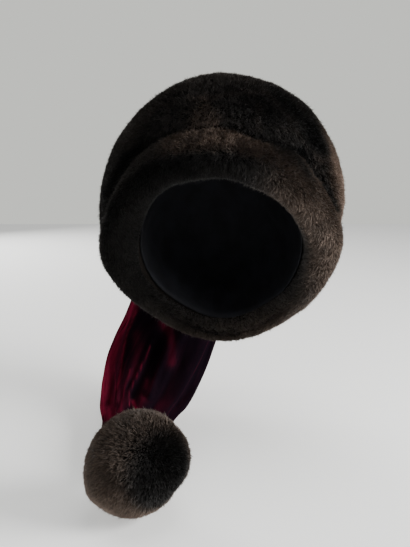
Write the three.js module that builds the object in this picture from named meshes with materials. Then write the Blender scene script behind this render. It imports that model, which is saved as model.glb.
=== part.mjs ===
// A pixie hat: a deep fur band round a lined crown, and a long velvet bag that falls over the
// back of the band, comes forward beside the wearer's neck and ends in a fur pompom.
//
// Millimetres. +Z is up, +Y points behind the wearer and +X to the wearer's left.
// The origin is where the crown of the head meets the inside of the lining.

import * as THREE from 'three';

// Driving dimensions
const headHalfWidth = 77;
const headHalfLength = 100;
const domeStraight = 31;
const domeRise = 88;
const domeLean = 10;
const liningThickness = 1.6;
const velvetThickness = 2;
const gap = 0.5;
const rimTilt = THREE.MathUtils.degToRad(47);
const rimYaw = THREE.MathUtils.degToRad(-3);
const seatClimb = THREE.MathUtils.degToRad(45);
const bandThickness = 40;
const bandWidth = 107;
const seamHeight = 98;
const seamOut = 7;
const seamAllowance = 6;
const valleyDepth = 5;
const lockDepth = 4.5;
const pompomRadius = 44;
const pompomLockDepth = 6;
const pompomCentre = new THREE.Vector3(-70, -169, -254.5);
const bagFolds = 9;
const foldDepth = 3.2;

// How finely each piece is drawn
const bandSteps = 64;
const liningSteps = 36;
const domeRows = 7;
const bagSteps = 32;
const bagRows = 30;
const pompomDetail = 3;

const furBrown = 0x3b2f28;
const wineRed = 0x4a0a1c;
const liningBlack = 0x0b0b0e;

// The band's section, from the rim's inside edge round the outside and back down the inner wall.
// out: distance from the inner wall. up: height above the rim. roll: 1 on the lower of the
// band's two soft rolls, 0 on the upper one. fur: 1 where locks grow up to the next row.
const bandSection = [
  { out: 0, up: 7, roll: 1, fur: 0 },
  { out: 4, up: -3, roll: 1, fur: 1 },
  { out: 14, up: -9, roll: 1, fur: 1 },
  { out: 27, up: -5, roll: 1, fur: 1 },
  { out: 37, up: 7, roll: 1, fur: 1 },
  { out: 40, up: 21, roll: 1, fur: 1 },
  { out: 39, up: 35, roll: 1, fur: 1 },
  { out: 37, up: 48, roll: 0.5, fur: 1 },
  { out: 38, up: 61, roll: 0, fur: 1 },
  { out: 40, up: 75, roll: 0, fur: 1 },
  { out: 38, up: 90, roll: 0, fur: 1 },
  { out: 31, up: 101, roll: 0, fur: 1 },
  { out: 20, up: 106, roll: 0, fur: 1 },
  { out: 12, up: 102, roll: 0, fur: 0 },
  { out: 10, up: 98, roll: 0, fur: 0 },
  { out: 0, up: 98, roll: 0, fur: 0 },
  { out: 0, up: 52, roll: 0, fur: 0 },
];

// How the band changes round the head. turn: degrees from the forehead towards the wearer's left.
// lower, upper: thickness of the two rolls. width: from the rim up. drop: how far the rim's
// edge hangs below its plane. valley: share of the full crease between the rolls.
const bandRound = [
  { turn: 0, lower: 29, upper: 38, width: 112, drop: -3, valley: 0.8 },
  { turn: 45, lower: 31, upper: 40, width: 110, drop: 4, valley: 1.4 },
  { turn: 90, lower: 34, upper: 43, width: 105, drop: 0, valley: 1.8 },
  { turn: 135, lower: 35, upper: 40, width: 107, drop: 6, valley: 0.8 },
  { turn: 180, lower: 38, upper: 38, width: 107, drop: 13, valley: 0.3 },
  { turn: 225, lower: 37, upper: 39, width: 107, drop: 6, valley: 0.5 },
  { turn: 270, lower: 44, upper: 44, width: 106, drop: 4, valley: 1 },
  { turn: 315, lower: 33, upper: 40, width: 99, drop: -7, valley: 0.8 },
];

// The velvet bag beyond the band's seam. x, y, z: the section's middle. half: half its width.
// towardsY, towardsZ: the step from the middle to the side that starts at the forehead.
const bagSections = [
  { x: 0, y: 61.5, z: -33, half: 84, towardsY: -69.5, towardsZ: 77, fold: 0.2 },
  { x: 0, y: 79.5, z: -33, half: 84, towardsY: -59.5, towardsZ: 79, fold: 0.5 },
  { x: -1, y: 98.5, z: -39.5, half: 82, towardsY: -44.5, towardsZ: 81.5, fold: 0.8 },
  { x: -4, y: 117.5, z: -52.5, half: 80, towardsY: -27.5, towardsZ: 80.5, fold: 1 },
  { x: -8, y: 135, z: -71, half: 77, towardsY: -11, towardsZ: 75, fold: 1 },
  { x: -14, y: 148, z: -95, half: 73, towardsY: 2, towardsZ: 63, fold: 1 },
  { x: -21, y: 156, z: -123, half: 69, towardsY: 11, towardsZ: 47, fold: 1 },
  { x: -30, y: 158, z: -151, half: 65, towardsY: 16, towardsZ: 31, fold: 1 },
  { x: -40, y: 156, z: -178, half: 61, towardsY: 17, towardsZ: 16, fold: 1 },
  { x: -51, y: 146, z: -205, half: 58, towardsY: 17, towardsZ: 3, fold: 1 },
  { x: -62, y: 127, z: -231, half: 56, towardsY: 16, towardsZ: -9, fold: 1 },
  { x: -71, y: 102, z: -254, half: 54, towardsY: 11, towardsZ: -14, fold: 1 },
  { x: -78, y: 71, z: -270, half: 50, towardsY: 5, towardsZ: -16, fold: 1 },
  { x: -83, y: 36, z: -278, half: 45, towardsY: 2, towardsZ: -15, fold: 1 },
  { x: -87, y: 0, z: -280, half: 38, towardsY: 0, towardsZ: -14, fold: 0.9 },
  { x: -88, y: -40, z: -281, half: 31, towardsY: 0, towardsZ: -13, fold: 0.8 },
  { x: -86, y: -78, z: -281, half: 24, towardsY: 0, towardsZ: -12, fold: 0.7 },
  { x: -82, y: -108, z: -278, half: 17, towardsY: -1, towardsZ: -11, fold: 0.5 },
  { x: -79, y: -124, z: -274, half: 12, towardsY: -3, towardsZ: -9, fold: 0.2 },
  { x: -77, y: -133.5, z: -270, half: 8, towardsY: -3, towardsZ: -7, fold: 0 },
];

// The rim plane: across the head, towards the forehead, and up into the crown.
const turned = new THREE.Euler(0, 0, rimYaw);
const across = new THREE.Vector3(1, 0, 0).applyEuler(turned);
const forward = new THREE.Vector3(0, -Math.cos(rimTilt), Math.sin(rimTilt)).applyEuler(turned);
const crownward = new THREE.Vector3(0, Math.sin(rimTilt), Math.cos(rimTilt)).applyEuler(turned);

// The rim's middle, placed so that the origin lies on the inside of the lining.
const rimMiddle = domeStep(0, seatClimb, gap + liningThickness).negate();

function inRimPlane(side, front, up) {
  return new THREE.Vector3()
    .addScaledVector(across, side)
    .addScaledVector(forward, front)
    .addScaledVector(crownward, up);
}

// The step from the rim's middle to the head's dome: round from the forehead, and up from its wall.
function domeStep(turn, climb, inset) {
  const shrink = Math.cos(climb);
  const side = (headHalfWidth - inset) * Math.sin(turn) * shrink;
  const front = (headHalfLength - inset) * Math.cos(turn) * shrink - domeLean * Math.sin(climb);
  return inRimPlane(side, front, domeStraight + (domeRise - inset) * Math.sin(climb));
}

// A point outside the head's outline: round from the forehead, out from the head, up from the rim.
function aroundHead(turn, out, up) {
  const side = Math.sin(turn);
  const front = Math.cos(turn);
  const outward = new THREE.Vector2(side / headHalfWidth, front / headHalfLength).normalize();
  outward.multiplyScalar(out);
  return inRimPlane(headHalfWidth * side + outward.x, headHalfLength * front + outward.y, up)
    .add(rimMiddle);
}

// A repeatable number from 0 to 1 for a pair of whole numbers.
function scatter(i, j) {
  const wave = Math.sin(i * 127.1 + j * 311.7) * 43758.5453;
  return wave - Math.floor(wave);
}

// One column of the band's table at any turn, eased between its rows.
function bandAt(turn, column) {
  const place = (turn / (2 * Math.PI)) * bandRound.length;
  const i = Math.floor(place) % bandRound.length;
  const from = bandRound[i];
  const to = bandRound[(i + 1) % bandRound.length];
  const part = THREE.MathUtils.smoothstep(place - Math.floor(place), 0, 1);
  return THREE.MathUtils.lerp(from[column], to[column], part);
}

// How far the rim's edge hangs below its plane, fading out towards the band's seam.
function rimDrop(turn, up) {
  return bandAt(turn, 'drop') * Math.max(0, 1 - up / seamHeight);
}

// One section of the band, the rows between locks lowered by the given depth into the pile.
function bandRing(turn, depth) {
  const width = bandAt(turn, 'width') / bandWidth;
  return bandSection.map(({ out, up, roll, fur }, j) => {
    const sunk = fur && bandSection[j - 1].fur ? depth : 0;
    const thick = THREE.MathUtils.lerp(bandAt(turn, 'upper'), bandAt(turn, 'lower'), roll);
    const crease = 1 - Math.abs(2 * roll - 1);
    const valley = crease * valleyDepth * bandAt(turn, 'valley');
    const outward = (out * thick) / bandThickness - valley - sunk;
    const height = (fur ? up * width : up) - rimDrop(turn, up);
    return aroundHead(turn, outward, height + (up < 0 ? sunk : 0));
  });
}

function closed(points, faces) {
  let volume = 0;
  for (let f = 0; f < faces.length; f += 3) {
    const [a, b, c] = [points[faces[f]], points[faces[f + 1]], points[faces[f + 2]]];
    volume += a.dot(b.clone().cross(c));
  }
  const geometry = new THREE.BufferGeometry().setFromPoints(points);
  geometry.setIndex(volume < 0 ? faces.reverse() : faces);
  geometry.computeVertexNormals();
  return geometry;
}

// A closed body from rings of points, with a point to close each end.
function tube(rings, firstTip, lastTip) {
  const size = rings[0].length;
  const points = [...rings.flat(), firstTip, lastTip];
  const faces = [];
  for (let r = 0; r + 1 < rings.length; r++) {
    for (let i = 0; i < size; i++) {
      const [a, b] = [r * size + i, r * size + ((i + 1) % size)];
      faces.push(a, b, a + size, b, b + size, a + size);
    }
  }
  const last = (rings.length - 1) * size;
  for (let i = 0; i < size; i++) {
    const next = (i + 1) % size;
    faces.push(points.length - 2, next, i, points.length - 1, last + i, last + next);
  }
  return closed(points, faces);
}

// Locks of fur fused to a backing: each furred cell of the section rises to a leaning tip.
function furBand() {
  const size = bandSection.length;
  const turnAt = (i) => (i / bandSteps) * 2 * Math.PI;
  const backing = [];
  const outer = [];
  for (let i = 0; i < bandSteps; i++) {
    backing.push(bandRing(turnAt(i), lockDepth));
    outer.push(bandRing(turnAt(i), 0));
  }
  const points = backing.flat();
  const faces = [];
  for (let i = 0; i < bandSteps; i++) {
    const beside = (i + 1) % bandSteps;
    for (let j = 0; j < size; j++) {
      const next = (j + 1) % size;
      const corners = [i * size + j, beside * size + j, beside * size + next, i * size + next];
      if (bandSection[j].fur) {
        const lean = 0.35 + 0.5 * scatter(i, j);
        const sway = 0.3 + 0.4 * scatter(j, i);
        const low = outer[i][j].clone().lerp(outer[beside][j], sway);
        const high = outer[i][next].clone().lerp(outer[beside][next], sway);
        points.push(high.lerp(low, lean));
        for (let k = 0; k < 4; k++) faces.push(corners[k], corners[(k + 1) % 4], points.length - 1);
      } else {
        faces.push(corners[0], corners[1], corners[3], corners[1], corners[2], corners[3]);
      }
    }
  }
  return closed(points, faces);
}

// A cap of cloth from the rim up over the dome of the head.
function lining() {
  const hem = bandSection[0].up - 3;
  const wall = (inset) => {
    const rings = [];
    for (let row = 0; row < 3 + domeRows; row++) {
      const ring = [];
      for (let i = 0; i < liningSteps; i++) {
        const turn = (i / liningSteps) * 2 * Math.PI;
        const climb = (Math.max(0, row - 2) / (domeRows + 1)) * (Math.PI / 2);
        const point = domeStep(turn, climb, inset).add(rimMiddle);
        const below = domeStraight - hem + rimDrop(turn, hem);
        ring.push(point.addScaledVector(crownward, -below * Math.max(0, 1 - row / 2)));
      }
      rings.push(ring);
    }
    return rings;
  };
  const top = (inset) => domeStep(0, Math.PI / 2, inset).add(rimMiddle);
  const outside = wall(gap).reverse();
  const inside = wall(gap + liningThickness);
  return tube([...outside, ...inside], top(gap), top(gap + liningThickness));
}

// Rings of the bag from the band's seam to the pompom, each a soft oval with lengthways folds.
function bagRings() {
  const middle = [];
  const wide = [];
  const towards = [];
  const foldShare = [];
  for (const rise of [0, seamAllowance]) {
    middle.push(rimMiddle.clone().addScaledVector(crownward, seamHeight + gap + rise));
    wide.push(across.clone().multiplyScalar(headHalfWidth + seamOut));
    towards.push(forward.clone().multiplyScalar(headHalfLength + seamOut));
    foldShare.push(new THREE.Vector2(0, 0));
  }
  for (const row of bagSections) {
    middle.push(new THREE.Vector3(row.x, row.y, row.z));
    wide.push(new THREE.Vector3(row.half, 0, 0));
    towards.push(new THREE.Vector3(0, row.towardsY, row.towardsZ));
    foldShare.push(new THREE.Vector2(0, row.fold));
  }
  const lines = [middle, wide, towards].map((line) => new THREE.CatmullRomCurve3(line));
  const folds = new THREE.SplineCurve(foldShare);
  const rings = [];
  for (let r = 0; r <= bagRows; r++) {
    const t = r / bagRows;
    const [centre, half, front] = lines.map((line) => line.getPoint(t));
    const depth = foldDepth * folds.getPoint(t).y;
    const ring = [];
    for (let i = 0; i < bagSteps; i++) {
      const turn = (i / bagSteps) * 2 * Math.PI;
      const spot = half.clone().multiplyScalar(Math.sin(turn)).addScaledVector(front, Math.cos(turn));
      const ripple = depth * Math.sin(bagFolds * turn + 1.5 * Math.sin(4 * t));
      ring.push(spot.addScaledVector(spot.clone().normalize(), ripple).add(centre));
    }
    rings.push(ring);
  }
  return rings;
}

// The same rings moved into the bag by the cloth's thickness.
function insideOf(rings) {
  return rings.map((ring, r) => {
    const before = rings[Math.max(r - 1, 0)];
    const after = rings[Math.min(r + 1, rings.length - 1)];
    return ring.map((point, i) => {
      const left = ring[(i + ring.length - 1) % ring.length];
      const right = ring[(i + 1) % ring.length];
      const along = after[i].clone().sub(before[i]);
      const inward = along.cross(right.clone().sub(left)).normalize();
      return point.clone().addScaledVector(inward, velvetThickness);
    });
  });
}

function middleOf(ring) {
  return ring.reduce((sum, point) => sum.add(point), new THREE.Vector3()).divideScalar(ring.length);
}

function velvetBag() {
  const outside = bagRings();
  const inside = insideOf(outside).slice(0, -1);
  const tip = middleOf(outside[outside.length - 1]);
  const pocket = middleOf(inside[inside.length - 1]);
  return tube([...outside.reverse(), ...inside], tip, pocket);
}

// A ball of locks, each a short spike on its own patch, flat where the bag's end is sewn to it.
function pompom() {
  const sewn = middleOf(bagRings()[bagRows]).sub(pompomCentre);
  const flatAt = sewn.length() - 3 * gap;
  sewn.normalize();
  const flatten = (point) => {
    const past = point.dot(sewn) - flatAt;
    if (past > 0) point.addScaledVector(sewn, -past);
    return point.add(pompomCentre);
  };
  const place = new THREE.IcosahedronGeometry(pompomRadius, pompomDetail).getAttribute('position');
  const known = new Map();
  const points = [];
  const faces = [];
  for (let f = 0; f < place.count; f += 3) {
    const middle = new THREE.Vector3();
    const corners = [0, 1, 2].map((k) => {
      const corner = new THREE.Vector3().fromBufferAttribute(place, f + k);
      middle.add(corner);
      const key = corner.toArray().map((v) => v.toFixed(2)).join();
      if (!known.has(key)) {
        known.set(key, points.length);
        points.push(flatten(corner.setLength(pompomRadius - pompomLockDepth)));
      }
      return known.get(key);
    });
    const reach = pompomRadius + pompomLockDepth * 0.5 * (scatter(f, 5) - 0.5);
    points.push(flatten(middle.setLength(reach)));
    for (let k = 0; k < 3; k++) faces.push(corners[k], corners[(k + 1) % 3], points.length - 1);
  }
  return closed(points, faces);
}

function piece(name, geometry, color, roughness) {
  const material = new THREE.MeshStandardMaterial({ color, roughness, metalness: 0, flatShading: true });
  const mesh = new THREE.Mesh(geometry, material);
  mesh.name = name;
  return mesh;
}

const hat = new THREE.Group();
hat.add(piece('fur_band', furBand(), furBrown, 0.95));
hat.add(piece('lining', lining(), liningBlack, 0.7));
hat.add(piece('velvet_bag', velvetBag(), wineRed, 0.6));
hat.add(piece('pompom', pompom(), furBrown, 0.95));

export default hat;
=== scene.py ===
# %% [markdown]
# # A pixie hat of plush fur and crushed velvet
# The real hat has a deep, padded band of dark brown fur cloth round a lined crown. A long velvet
# bag is sewn inside the band's upper edge. It falls down behind the band, comes forward at one
# side and ends in a ball of the same fur. The imported CAD model gives the place and size of
# each piece, so the lesson starts by loading it.

# %% Load the frame
import math

import bpy
import numpy as np
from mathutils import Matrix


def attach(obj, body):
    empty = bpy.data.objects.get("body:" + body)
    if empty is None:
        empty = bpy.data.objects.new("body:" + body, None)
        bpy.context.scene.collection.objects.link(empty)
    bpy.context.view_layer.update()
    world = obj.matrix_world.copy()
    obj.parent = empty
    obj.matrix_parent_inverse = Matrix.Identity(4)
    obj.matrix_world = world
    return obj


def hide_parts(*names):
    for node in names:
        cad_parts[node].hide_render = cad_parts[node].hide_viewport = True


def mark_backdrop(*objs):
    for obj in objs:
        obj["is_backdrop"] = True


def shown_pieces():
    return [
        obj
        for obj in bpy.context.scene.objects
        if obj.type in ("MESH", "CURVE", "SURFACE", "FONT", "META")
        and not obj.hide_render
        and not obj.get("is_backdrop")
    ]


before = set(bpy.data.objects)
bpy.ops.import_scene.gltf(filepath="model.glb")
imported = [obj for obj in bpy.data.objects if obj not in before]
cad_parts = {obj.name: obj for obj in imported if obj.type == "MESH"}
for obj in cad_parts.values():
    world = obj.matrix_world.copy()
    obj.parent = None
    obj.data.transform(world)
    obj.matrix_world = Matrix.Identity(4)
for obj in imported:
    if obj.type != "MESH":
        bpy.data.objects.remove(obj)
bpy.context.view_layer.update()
print("CAD nodes:", sorted(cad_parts))

# %% [markdown]
# ## The hat's own directions
# A hat is worn tilted, so it is easiest to draw in the plane of its rim: across, forward to the
# brow and up into the crown. Three unit vectors turn such sizes into places in the scene. All
# tables are in millimetres, as a maker would note them, and are scaled once.

# %% Directions and the room inside the hat
MM = 0.001
TILT, YAW = math.radians(47), math.radians(-3)
# half the width and length of the room inside the rim, and the dome over it: its straight
# wall, the rise above that, and how far its crown leans to the back
INSIDE_WIDE, INSIDE_LONG = 77.0, 100.0
DOME_STRAIGHT, DOME_RISE, DOME_LEAN = 31.0, 88.0, 10.0


def yawed(x, y, z):
    """A direction turned about the vertical by the hat's small yaw."""
    c, s = math.cos(YAW), math.sin(YAW)
    return np.array([x * c - y * s, x * s + y * c, z])


ACROSS = yawed(1, 0, 0)
FORWARD = yawed(0, -math.cos(TILT), math.sin(TILT))
CROWNWARD = yawed(0, math.sin(TILT), math.cos(TILT))


def in_rim_plane(side, front, up):
    """Steps across, forward and crownward added up; arrays of any shape will do."""
    side, front, up = np.broadcast_arrays(side, front, up)
    return side[..., None] * ACROSS + front[..., None] * FORWARD + up[..., None] * CROWNWARD


def dome_step(turn, climb, inset):
    """From the rim's middle to the inside dome, round by turn and up by climb."""
    side = (INSIDE_WIDE - inset) * np.sin(turn) * np.cos(climb)
    front = (INSIDE_LONG - inset) * np.cos(turn) * np.cos(climb) - DOME_LEAN * np.sin(climb)
    return in_rim_plane(side, front, DOME_STRAIGHT + (DOME_RISE - inset) * np.sin(climb))


# the CAD model's origin lies half way up the front of the dome, just inside the cloth
ORIGIN_CLIMB, ORIGIN_INSET = math.radians(45), 2.1
RIM_MIDDLE = -dome_step(np.array(0.0), ORIGIN_CLIMB, ORIGIN_INSET)
print("Middle of the rim:", RIM_MIDDLE.round(1))

# %% [markdown]
# ## Working in edit mode from code
# Every operator acts on what is selected, so each step first clears the selection. Round pieces
# all start the same way: a circle is added, its edge is extruded once for each row of the
# piece's table, and every vertex is then set to its row's place. It is what one does by hand
# with extrude and scale, and it keeps the rings in order for folds and rolls.

# %% Helpers for selecting, lofting and finishing
# each row is extruded this high, which tells afterwards in which row a vertex is
STEP = 0.01
DOUBLES = 1e-6


def take(obj):
    """Selects one object alone and makes it active."""
    bpy.ops.object.select_all(action="DESELECT")
    obj.select_set(True)
    bpy.context.view_layer.objects.active = obj
    return obj


def edit(action="SELECT"):
    """Enters edit mode with all selected, or with nothing on DESELECT."""
    bpy.ops.object.mode_set(mode="EDIT")
    bpy.ops.mesh.select_all(action=action)


def coordinates(obj):
    """The object's vertices as an array of rows."""
    flat = np.empty(len(obj.data.vertices) * 3)
    obj.data.vertices.foreach_get("co", flat)
    return flat.reshape(-1, 3)


def move_vertices(obj, places):
    """Sets every vertex and refreshes the mesh."""
    obj.data.vertices.foreach_set("co", np.asarray(places, float).ravel())
    obj.data.update()


def loft(name, rings, close_section=False, **values):
    """A sheet through rings of points in millimetres: rings has rows, columns and x, y, z.
    Other values, one for each point, are kept as attributes of that name."""
    rows, columns = rings.shape[:2]
    bpy.ops.object.select_all(action="DESELECT")
    bpy.ops.mesh.primitive_circle_add(vertices=columns, radius=1, fill_type="NOTHING")
    obj = bpy.context.object
    obj.name = obj.data.name = name
    edit()
    for _ in range(rows - 1):
        bpy.ops.mesh.extrude_region_move(TRANSFORM_OT_translate={"value": (0, 0, STEP)})
    if close_section:
        bpy.ops.mesh.select_all(action="SELECT")
        bpy.ops.mesh.region_to_loop()
        bpy.ops.mesh.bridge_edge_loops()
    bpy.ops.object.mode_set(mode="OBJECT")
    co = coordinates(obj)
    row = np.rint(co[:, 2] / STEP).astype(int)
    column = np.rint(np.arctan2(co[:, 1], co[:, 0]) / (2 * np.pi) * columns).astype(int) % columns
    move_vertices(obj, rings[row, column] * MM)
    for label, value in values.items():
        vector = value.ndim == 3
        attribute = obj.data.attributes.new(label, "FLOAT_VECTOR" if vector else "FLOAT", "POINT")
        own = value[row, column].astype(np.float32).ravel()
        attribute.data.foreach_set("vector" if vector else "value", own)
    face_outwards(obj)
    return obj


def face_outwards(obj):
    """Turns all faces to the outside, after doubles are merged."""
    take(obj)
    edit()
    bpy.ops.mesh.remove_doubles(threshold=DOUBLES)
    bpy.ops.mesh.normals_make_consistent(inside=False)
    bpy.ops.object.mode_set(mode="OBJECT")


def finish_with(obj, kind, **settings):
    """Adds one modifier, gives it its settings and applies it."""
    take(obj)
    modifier = obj.modifiers.new(kind.title(), kind)
    for key, value in settings.items():
        setattr(modifier, key, value)
    bpy.ops.object.modifier_apply(modifier=modifier.name)


def smooth(obj):
    """Shades the whole object smooth."""
    take(obj)
    bpy.ops.object.shade_smooth()


def unit(vectors):
    """Vectors of length one."""
    return vectors / np.maximum(np.linalg.norm(vectors, axis=-1, keepdims=True), 1e-12)


def triangles(obj):
    """The object's number of triangles."""
    return sum(len(p.vertices) - 2 for p in obj.data.polygons)


def all_round(columns):
    """The turns of a ring's columns, in radians from the brow."""
    return np.arange(columns) / columns * 2 * np.pi


def eased(part):
    """A share from 0 to 1 that starts and ends gently."""
    return part * part * (3 - 2 * part)


DRIFT_TABLE, DRIFT_KEYS = 4096, (73856093, 19349663, 83492791)


def drifting(points, size, seed):
    """Smooth random vectors from -1 to 1 that change over a distance of size."""
    table = np.random.default_rng(seed).uniform(-1, 1, (DRIFT_TABLE, 3))
    cell = np.floor(points / size).astype(np.int64)
    part = eased(points / size - cell)
    total = np.zeros_like(points)
    for corner in np.ndindex(2, 2, 2):
        key = ((cell + corner) * DRIFT_KEYS).sum(-1) % DRIFT_TABLE
        weight = np.prod(np.where(np.array(corner) == 1, part, 1 - part), axis=-1)
        total += table[key] * weight[..., None]
    return total


print("Helpers ready")

# %% [markdown]
# ## The camera
# The photograph was taken from about three quarters of a metre, level with the crown and
# looking down by ten degrees. The camera comes before the pieces because the folds of the
# velvet and the brushing of the pile are placed by where they are seen in the picture. They are
# then fixed on the cloth, and stay there from every other side.

# %% Camera at the photograph's place
# the lens's place in millimetres, and how far it looks down
EYE = np.array([-16.3, -769.0, 5.0])
PITCH = math.radians(10.03)
# focal length and size of the picture in pixels, and the sensor's longer side in millimetres
FOCAL, WIDE, HIGH, SENSOR = 800.0, 410, 547, 36
# from this cosine on, a surface counts as facing the camera fully
FACING_FULLY = 0.25

bpy.ops.object.camera_add(location=EYE * MM, rotation=(math.pi / 2 - PITCH, 0, 0))
camera = bpy.context.object
camera.name = "camera"
camera.data.sensor_width = SENSOR
camera.data.lens = FOCAL * SENSOR / HIGH
camera.data.clip_start, camera.data.clip_end = 0.05, 20
bpy.context.scene.camera = camera


def seen_at(points):
    """Where points in millimetres fall in the picture, across and down."""
    away = points - EYE
    depth = away[..., 1] * math.cos(PITCH) - away[..., 2] * math.sin(PITCH)
    rise = away[..., 1] * math.sin(PITCH) + away[..., 2] * math.cos(PITCH)
    across = WIDE / 2 + FOCAL * away[..., 0] / depth
    return np.stack([across, HIGH / 2 - FOCAL * rise / depth], -1)


def beside(spots, line):
    """Distance in pixels from a line through the picture."""
    nearest = np.full(spots.shape[:-1], np.inf)
    for start, end in zip(line[:-1], line[1:]):
        start, step = np.array(start, float), np.subtract(end, start).astype(float)
        away = spots - start
        along = np.clip((away @ step) / (step @ step), 0, 1)
        gap = away - along[..., None] * step
        nearest = np.minimum(nearest, np.hypot(gap[..., 0], gap[..., 1]))
    return nearest


def towards_eye(points, normals):
    """1 where a surface faces the camera, falling to 0 at its outline and behind."""
    return np.clip(-(normals * unit(points - EYE)).sum(-1) / FACING_FULLY, 0, 1)


print("Lens in millimetres:", round(camera.data.lens, 2))

# %% [markdown]
# ## Fur finish
# Sheared plush is dark at the roots and lighter at the very tips. Seen end on it looks almost
# black, and along the outline, where the hairs are seen from the side, it looks brown. Thin
# hairs with a root-to-tip colour give that by themselves. Each hair carries how far along it a
# point is, and a tone, as attributes: the tone holds painted light and shade, with some nap
# marks, and a small random share of its own. One shared group breaks up a tone in soft patches,
# as worn pile and cloth have, and a second one gives the threads of a weave.


# %% The patchy tone group and the weave group
def settle(node, values):
    """Sets a node's own sockets, named as Blender names them."""
    for label, value in values.items():
        node.inputs[label].default_value = value


def new_group(name, inputs, outputs):
    """An empty node group with its own named sockets."""
    group = bpy.data.node_groups.new(name, "ShaderNodeTree")
    for label, kind, value in inputs:
        socket = group.interface.new_socket(label, in_out="INPUT", socket_type=kind)
        if value is not None:
            socket.default_value = value
    for label, kind in outputs:
        group.interface.new_socket(label, in_out="OUTPUT", socket_type=kind)
    return group, group.nodes.new("NodeGroupInput"), group.nodes.new("NodeGroupOutput")


NUMBER = "NodeSocketFloat"
patchy, at, out = new_group(
    "patchy_tone",
    [("Scale", NUMBER, 30.0), ("Low", NUMBER, 0.8), ("High", NUMBER, 1.2)],
    [("Tone", NUMBER)],
)
place = patchy.nodes.new("ShaderNodeTexCoord")
clouds = patchy.nodes.new("ShaderNodeTexNoise")
settle(clouds, {"Detail": 4})
spread = patchy.nodes.new("ShaderNodeMapRange")
settle(spread, {"From Min": 0.35, "From Max": 0.65})
patchy.links.new(place.outputs["Object"], clouds.inputs["Vector"])
patchy.links.new(at.outputs["Scale"], clouds.inputs["Scale"])
patchy.links.new(clouds.outputs["Fac"], spread.inputs["Value"])
patchy.links.new(at.outputs["Low"], spread.inputs["To Min"])
patchy.links.new(at.outputs["High"], spread.inputs["To Max"])
patchy.links.new(spread.outputs["Result"], out.inputs["Tone"])

woven, at, out = new_group("woven_height", [("Scale", NUMBER, 300.0)], [("Height", NUMBER)])
place = woven.nodes.new("ShaderNodeTexCoord")
height = None
for axis in "XYZ":
    wave = woven.nodes.new("ShaderNodeTexWave")
    wave.bands_direction = axis
    woven.links.new(place.outputs["Object"], wave.inputs["Vector"])
    woven.links.new(at.outputs["Scale"], wave.inputs["Scale"])
    if height is None:
        height = wave.outputs["Fac"]
    else:
        both = woven.nodes.new("ShaderNodeMath")
        woven.links.new(height, both.inputs[0])
        woven.links.new(wave.outputs["Fac"], both.inputs[1])
        height = both.outputs["Value"]
woven.links.new(height, out.inputs["Height"])
print("Groups:", patchy.name, woven.name)


# %% Helpers for materials
def new_material(name, roughness):
    """A material with its Principled BSDF, and shorthand for its nodes and links."""
    material = bpy.data.materials.new(name)
    material.use_nodes = True
    shader = material.node_tree.nodes["Principled BSDF"]
    settle(shader, {"Roughness": roughness})
    return material, shader, material.node_tree.nodes, material.node_tree.links


def attribute(nodes, name):
    """A node that reads one of the mesh's attributes."""
    node = nodes.new("ShaderNodeAttribute")
    node.attribute_name = name
    return node


def ranged(nodes, links, value, old, new):
    """A value taken from its old range, given as lowest and highest, to a new one."""
    node = nodes.new("ShaderNodeMapRange")
    settle(node, {"From Min": old[0], "From Max": old[1], "To Min": new[0], "To Max": new[1]})
    links.new(value, node.inputs["Value"])
    return node.outputs["Result"]


def relief(nodes, links, shader, height, strength, depth):
    """Raises a surface by a height, through a bump of a strength and a depth in metres."""
    bump = nodes.new("ShaderNodeBump")
    settle(bump, {"Strength": strength, "Distance": depth})
    links.new(height, bump.inputs["Height"])
    links.new(bump.outputs["Normal"], shader.inputs["Normal"])


def multiply(nodes, links, colour, factor):
    """A colour made lighter or darker by a factor."""
    mix = nodes.new("ShaderNodeVectorMath")
    mix.operation = "SCALE"
    links.new(colour, mix.inputs[0])
    links.new(factor, mix.inputs["Scale"])
    return mix.outputs[0]


def ramp(nodes, links, factor, stops):
    """A colour ramp through the stops, each a place and a colour."""
    node = nodes.new("ShaderNodeValToRGB")
    while len(node.color_ramp.elements) < len(stops):
        node.color_ramp.elements.new(0.5)
    for element, (position, colour) in zip(node.color_ramp.elements, stops):
        element.position = position
        element.color = (*colour, 1)
    links.new(factor, node.inputs["Fac"])
    return node.outputs["Color"]


def patches_of(nodes, scale, low, high):
    """The shared tone group in a material, with its patch size and the range of its tone."""
    group = nodes.new("ShaderNodeGroup")
    group.node_tree = patchy
    settle(group, {"Scale": scale, "Low": low, "High": high})
    return group.outputs["Tone"]


def weave(nodes, links, shader, scale, depth):
    """Raises the threads of a cloth by a depth in metres."""
    group = nodes.new("ShaderNodeGroup")
    group.node_tree = woven
    settle(group, {"Scale": scale})
    relief(nodes, links, shader, group.outputs["Height"], 0.6, depth)


print("Material helpers ready")

# %% Materials of the fur: the hairs and the cloth they stand on
# the hair's colour from its root to its tip
HAIR_STOPS = [
    (0.0, (0.0080, 0.0064, 0.0056)),
    (0.5, (0.0260, 0.0200, 0.0168)),
    (0.8, (0.0680, 0.0520, 0.0425)),
    (1.0, (0.1520, 0.1170, 0.0955)),
]
hair_finish, shader, nodes, links = new_material("plush_hair", 0.55)
along, tone = attribute(nodes, "along"), attribute(nodes, "tone")
colour = ramp(nodes, links, along.outputs["Fac"], HAIR_STOPS)
colour = multiply(nodes, links, colour, tone.outputs["Fac"])
colour = multiply(nodes, links, colour, patches_of(nodes, 45, 0.8, 1.2))
# the darkest pile is nearly grey and the lightest is brown
brown = nodes.new("ShaderNodeHueSaturation")
brownness = ranged(nodes, links, tone.outputs["Fac"], (0.1, 0.9), (0.25, 1.1))
links.new(brownness, brown.inputs["Saturation"])
links.new(colour, brown.inputs["Color"])
links.new(brown.outputs["Color"], shader.inputs["Base Color"])
settle(shader, {"Specular IOR Level": 0.2, "Sheen Weight": 0.04, "Sheen Roughness": 0.4})

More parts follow.
